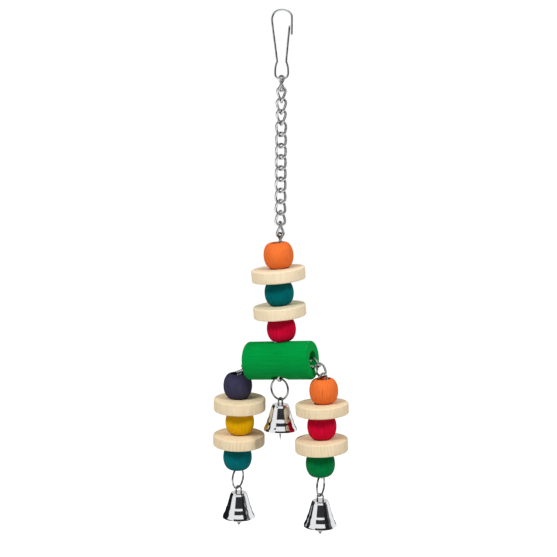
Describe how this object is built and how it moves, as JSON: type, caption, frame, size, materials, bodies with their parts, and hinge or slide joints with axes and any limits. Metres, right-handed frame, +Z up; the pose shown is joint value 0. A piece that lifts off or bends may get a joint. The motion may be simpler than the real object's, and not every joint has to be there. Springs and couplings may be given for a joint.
{
  "type": "hanging wooden bird toy",
  "caption": "Hanging bird toy: snap clip, curb chain, dyed wooden beads and natural wood discs, a drilled cross log with a bead string at each end, and small bells.",
  "frame": {"origin": "inside of the clip's top arch, where the cage bar bears", "axes": "+Z up; -Y is the side that faces a viewer; the log lies roughly along X, its right end turned towards the viewer"},
  "size_m": [0.0983, 0.0622, 0.3704],
  "materials": {
    "plated_steel": "bright nickel plated wire",
    "bell_chrome": "polished plated sheet",
    "clapper_steel": "plated sheet",
    "natural_wood": "sanded, uncoated",
    "log_green": "dyed, matt",
    "wood_orange": "dyed, matt",
    "wood_teal": "dyed, satin",
    "wood_red": "dyed, satin",
    "wood_navy": "dyed, satin",
    "wood_yellow": "dyed, satin",
    "wood_green": "dyed, satin"
  },
  "bodies": {
    "clip": {"clip_frame": "plated_steel"},
    "gate": {"clip_gate": "plated_steel"},
    "chain_link_01": {"chain_link_01": "plated_steel"},
    "chain_link_02": {"chain_link_02": "plated_steel"},
    "chain_link_03": {"chain_link_03": "plated_steel"},
    "chain_link_04": {"chain_link_04": "plated_steel"},
    "chain_link_05": {"chain_link_05": "plated_steel"},
    "chain_link_06": {"chain_link_06": "plated_steel"},
    "chain_link_07": {"chain_link_07": "plated_steel"},
    "chain_link_08": {"chain_link_08": "plated_steel"},
    "chain_link_09": {"chain_link_09": "plated_steel"},
    "chain_link_10": {"chain_link_10": "plated_steel"},
    "chain_link_11": {"chain_link_11": "plated_steel"},
    "chain_link_12": {"chain_link_12": "plated_steel"},
    "chain_link_13": {"chain_link_13": "plated_steel"},
    "chain_link_14": {"chain_link_14": "plated_steel"},
    "top_bead_orange": {"top_bead_orange": "wood_orange"},
    "top_disc_upper": {"top_disc_upper": "natural_wood"},
    "top_bead_teal": {"top_bead_teal": "wood_teal"},
    "top_disc_lower": {"top_disc_lower": "natural_wood"},
    "top_bead_red": {"top_bead_red": "wood_red"},
    "log": {"log": "log_green", "log_inner_chain": "plated_steel"},
    "top_string_chain": {"top_string_chain": "plated_steel"},
    "centre_ring": {"centre_ring": "plated_steel"},
    "centre_bell": {"centre_bell": "bell_chrome", "centre_bell_hanger": "plated_steel"},
    "centre_clapper": {"centre_clapper": "clapper_steel"},
    "left_link_1": {"left_link_1": "plated_steel"},
    "left_link_2": {"left_link_2": "plated_steel"},
    "left_bead_navy": {"left_bead_navy": "wood_navy"},
    "left_disc_upper": {"left_disc_upper": "natural_wood"},
    "left_bead_yellow": {"left_bead_yellow": "wood_yellow"},
    "left_disc_lower": {"left_disc_lower": "natural_wood"},
    "left_bead_teal": {"left_bead_teal": "wood_teal"},
    "left_string_chain": {"left_string_chain": "plated_steel"},
    "left_ring": {"left_ring": "plated_steel"},
    "left_bell": {"left_bell": "bell_chrome", "left_bell_hanger": "plated_steel"},
    "left_clapper": {"left_clapper": "clapper_steel"},
    "right_link_1": {"right_link_1": "plated_steel"},
    "right_link_2": {"right_link_2": "plated_steel"},
    "right_bead_orange": {"right_bead_orange": "wood_orange"},
    "right_disc_upper": {"right_disc_upper": "natural_wood"},
    "right_bead_red": {"right_bead_red": "wood_red"},
    "right_disc_lower": {"right_disc_lower": "natural_wood"},
    "right_bead_green": {"right_bead_green": "wood_green"},
    "right_string_chain": {"right_string_chain": "plated_steel"},
    "right_ring": {"right_ring": "plated_steel"},
    "right_bell": {"right_bell": "bell_chrome", "right_bell_hanger": "plated_steel"},
    "right_clapper": {"right_clapper": "clapper_steel"}
  },
  "joints": [
    {"name": "gate_swing", "type": "hinge", "parent": "clip", "child": "gate", "pos_m": [0.00453, 0, -0.04215], "axis": [0, 1, 0], "range_deg": [-12, 0], "stiffness_Nm_per_rad": 0.25},
    {"name": "link_01_swing", "type": "hinge", "parent": "clip", "child": "chain_link_01", "pos_m": [0, 0, -0.04668], "axis": [1, 0, 0], "range_deg": [-25, 25]},
    {"name": "link_02_swing", "type": "hinge", "parent": "chain_link_01", "child": "chain_link_02", "pos_m": [-0.00003, 0, -0.05245], "axis": [-0.9925, 0.1219, 0.0045], "range_deg": [-25, 25]},
    {"name": "link_08_swing", "type": "hinge", "parent": "chain_link_07", "child": "chain_link_08", "pos_m": [-0.00025, 0, -0.09925], "axis": [-0.7071, -0.7071, 0.0032], "range_deg": [-25, 25]},
    {"name": "top_string_swing", "type": "hinge", "parent": "chain_link_14", "child": "top_string_chain", "pos_m": [-0.00051, 0, -0.15605], "axis": [0.9205, 0.3907, -0.0042], "range_deg": [-15, 15]},
    {"name": "log_twist", "type": "hinge", "parent": "top_string_chain", "child": "log", "pos_m": [-0.0005, 0, -0.23233], "axis": [0, 0, 1], "range_deg": [-12, 12]},
    {"name": "left_link_1_lift", "type": "hinge", "parent": "log", "child": "left_link_1", "pos_m": [-0.01909, 0.00601, -0.24599], "axis": [0.3746, 0.9272, 0], "range_deg": [0, 12]},
    {"name": "left_link_2_lift", "type": "hinge", "parent": "left_link_1", "child": "left_link_2", "pos_m": [-0.02538, 0.00855, -0.24985], "axis": [0.3746, 0.9272, 0], "range_deg": [0, 20]},
    {"name": "left_string_swing", "type": "hinge", "parent": "left_link_2", "child": "left_string_chain", "pos_m": [-0.03067, 0.01069, -0.25522], "axis": [-0.9272, 0.3746, 0], "range_deg": [-15, 9]},
    {"name": "right_link_1_lift", "type": "hinge", "parent": "log", "child": "right_link_1", "pos_m": [0.01908, -0.00941, -0.24264], "axis": [-0.3746, -0.9272, 0], "range_deg": [0, 12]},
    {"name": "right_link_2_lift", "type": "hinge", "parent": "right_link_1", "child": "right_link_2", "pos_m": [0.02612, -0.01225, -0.24463], "axis": [-0.3746, -0.9272, 0], "range_deg": [0, 20]},
    {"name": "right_string_swing", "type": "hinge", "parent": "right_link_2", "child": "right_string_chain", "pos_m": [0.02986, -0.01377, -0.25132], "axis": [0.9272, -0.3746, 0], "range_deg": [-15, 15]},
    {"name": "centre_ring_swing", "type": "hinge", "parent": "log", "child": "centre_ring", "pos_m": [-0.00044, -0.0059, -0.25649], "axis": [0.788, -0.6157, 0], "range_deg": [-20, 20]},
    {"name": "centre_bell_swing", "type": "hinge", "parent": "centre_ring", "child": "centre_bell", "pos_m": [-0.00044, -0.0059, -0.27179], "axis": [0.788, -0.6157, 0], "range_deg": [-25, 25]},
    {"name": "centre_clapper_swing", "type": "hinge", "parent": "centre_bell", "child": "centre_clapper", "pos_m": [-0.00044, -0.0059, -0.27821], "axis": [0.6157, 0.788, 0], "range_deg": [-28, 28]},
    {"name": "left_ring_swing", "type": "hinge", "parent": "left_string_chain", "child": "left_ring", "pos_m": [-0.03067, 0.01069, -0.32589], "axis": [0.4848, 0.8746, 0], "range_deg": [-20, 20]},
    {"name": "left_bell_swing", "type": "hinge", "parent": "left_ring", "child": "left_bell", "pos_m": [-0.03067, 0.01069, -0.34119], "axis": [0.4848, 0.8746, 0], "range_deg": [-40, 40]},
    {"name": "left_clapper_swing", "type": "hinge", "parent": "left_bell", "child": "left_clapper", "pos_m": [-0.03067, 0.01069, -0.34762], "axis": [-0.8746, 0.4848, 0], "range_deg": [-28, 28]},
    {"name": "right_ring_swing", "type": "hinge", "parent": "right_string_chain", "child": "right_ring", "pos_m": [0.02897, -0.01377, -0.32424], "axis": [0.3746, 0.9272, 0], "range_deg": [-20, 20]},
    {"name": "right_bell_swing", "type": "hinge", "parent": "right_ring", "child": "right_bell", "pos_m": [0.02897, -0.01377, -0.33954], "axis": [0.3746, 0.9272, 0], "range_deg": [-40, 40]},
    {"name": "right_clapper_swing", "type": "hinge", "parent": "right_bell", "child": "right_clapper", "pos_m": [0.02897, -0.01377, -0.34596], "axis": [-0.9272, 0.3746, 0], "range_deg": [-28, 28]},
    {"name": "link_03_swing", "type": "hinge", "parent": "chain_link_02", "child": "chain_link_03", "pos_m": [-0.00008, 0, -0.06245], "axis": [-0.1219, -0.9925, 0.0005], "range_deg": [-25, 25]},
    {"name": "link_04_swing", "type": "hinge", "parent": "chain_link_03", "child": "chain_link_04", "pos_m": [-0.00011, 0, -0.06805], "axis": [-0.9986, -0.0523, 0.0045], "range_deg": [-15, 15]},
    {"name": "link_05_swing", "type": "hinge", "parent": "chain_link_04", "child": "chain_link_05", "pos_m": [-0.00015, 0, -0.07805], "axis": [0.0523, -0.9986, -0.0002], "range_deg": [-15, 15]},
    {"name": "link_06_swing", "type": "hinge", "parent": "chain_link_05", "child": "chain_link_06", "pos_m": [-0.00018, 0, -0.08365], "axis": [0.7071, 0.7071, -0.0032], "range_deg": [-25, 25]},
    {"name": "link_07_swing", "type": "hinge", "parent": "chain_link_06", "child": "chain_link_07", "pos_m": [-0.00022, 0, -0.09365], "axis": [-0.7071, 0.7071, 0.0032], "range_deg": [-25, 25]},
    {"name": "link_09_swing", "type": "hinge", "parent": "chain_link_08", "child": "chain_link_09", "pos_m": [-0.00029, 0, -0.10925], "axis": [0.7071, -0.7071, -0.0032], "range_deg": [-25, 25]},
    {"name": "link_10_swing", "type": "hinge", "parent": "chain_link_09", "child": "chain_link_10", "pos_m": [-0.00032, 0, -0.11485], "axis": [0.7071, 0.7071, -0.0032], "range_deg": [-25, 25]},
    {"name": "link_11_swing", "type": "hinge", "parent": "chain_link_10", "child": "chain_link_11", "pos_m": [-0.00036, 0, -0.12485], "axis": [-0.7071, 0.7071, 0.0032], "range_deg": [-25, 25]},
    {"name": "link_12_swing", "type": "hinge", "parent": "chain_link_11", "child": "chain_link_12", "pos_m": [-0.00039, 0, -0.13045], "axis": [-0.454, -0.891, 0.0021], "range_deg": [-25, 25]},
    {"name": "link_13_swing", "type": "hinge", "parent": "chain_link_12", "child": "chain_link_13", "pos_m": [-0.00044, 0, -0.14045], "axis": [0.891, -0.454, -0.004], "range_deg": [-25, 25]},
    {"name": "link_14_swing", "type": "hinge", "parent": "chain_link_13", "child": "chain_link_14", "pos_m": [-0.00046, 0, -0.14605], "axis": [-0.3907, 0.9205, 0.0018], "range_deg": [-25, 25]},
    {"name": "top_bead_orange_spin", "type": "hinge", "parent": "top_string_chain", "child": "top_bead_orange", "pos_m": [-0.0014, 0, -0.16968], "axis": [-0.0958, 0, 0.9954], "continuous": true},
    {"name": "top_disc_upper_spin", "type": "hinge", "parent": "top_string_chain", "child": "top_disc_upper", "pos_m": [-0.00169, 0, -0.18261], "axis": [-0.0958, 0, 0.9954], "continuous": true},
    {"name": "top_bead_teal_spin", "type": "hinge", "parent": "top_string_chain", "child": "top_bead_teal", "pos_m": [-0.0012, 0, -0.19548], "axis": [-0.0958, 0, 0.9954], "continuous": true},
    {"name": "top_disc_lower_spin", "type": "hinge", "parent": "top_string_chain", "child": "top_disc_lower", "pos_m": [-0.0007, 0, -0.20834], "axis": [-0.0958, 0, 0.9954], "continuous": true},
    {"name": "top_bead_red_spin", "type": "hinge", "parent": "top_string_chain", "child": "top_bead_red", "pos_m": [0.0001, 0, -0.22117], "axis": [-0.0958, 0, 0.9954], "continuous": true},
    {"name": "left_bead_navy_spin", "type": "hinge", "parent": "left_string_chain", "child": "left_bead_navy", "pos_m": [-0.03067, 0.01069, -0.26533], "axis": [0, -0.0436, 0.999], "continuous": true},
    {"name": "left_disc_upper_spin", "type": "hinge", "parent": "left_string_chain", "child": "left_disc_upper", "pos_m": [-0.03027, 0.01069, -0.27855], "axis": [0, -0.0436, 0.999], "continuous": true},
    {"name": "left_bead_yellow_spin", "type": "hinge", "parent": "left_string_chain", "child": "left_bead_yellow", "pos_m": [-0.03007, 0.01069, -0.29176], "axis": [0, -0.0436, 0.999], "continuous": true},
    {"name": "left_disc_lower_spin", "type": "hinge", "parent": "left_string_chain", "child": "left_disc_lower", "pos_m": [-0.03067, 0.01069, -0.30462], "axis": [0, -0.0436, 0.999], "continuous": true},
    {"name": "left_bead_teal_spin", "type": "hinge", "parent": "left_string_chain", "child": "left_bead_teal", "pos_m": [-0.03097, 0.01069, -0.31748], "axis": [0, -0.0436, 0.999], "continuous": true},
    {"name": "right_bead_orange_spin", "type": "hinge", "parent": "right_string_chain", "child": "right_bead_orange", "pos_m": [0.03046, -0.01377, -0.26372], "axis": [0, 0.0227, 0.9997], "continuous": true},
    {"name": "right_disc_upper_spin", "type": "hinge", "parent": "right_string_chain", "child": "right_disc_upper", "pos_m": [0.03017, -0.01377, -0.27658], "axis": [0, 0.0227, 0.9997], "continuous": true},
    {"name": "right_bead_red_spin", "type": "hinge", "parent": "right_string_chain", "child": "right_bead_red", "pos_m": [0.03007, -0.01377, -0.28943], "axis": [0, 0.0227, 0.9997], "continuous": true},
    {"name": "right_disc_lower_spin", "type": "hinge", "parent": "right_string_chain", "child": "right_disc_lower", "pos_m": [0.02936, -0.01377, -0.30263], "axis": [0, 0.0227, 0.9997], "continuous": true},
    {"name": "right_bead_green_spin", "type": "hinge", "parent": "right_string_chain", "child": "right_bead_green", "pos_m": [0.02916, -0.01377, -0.31583], "axis": [0, 0.0227, 0.9997], "continuous": true}
  ]
}
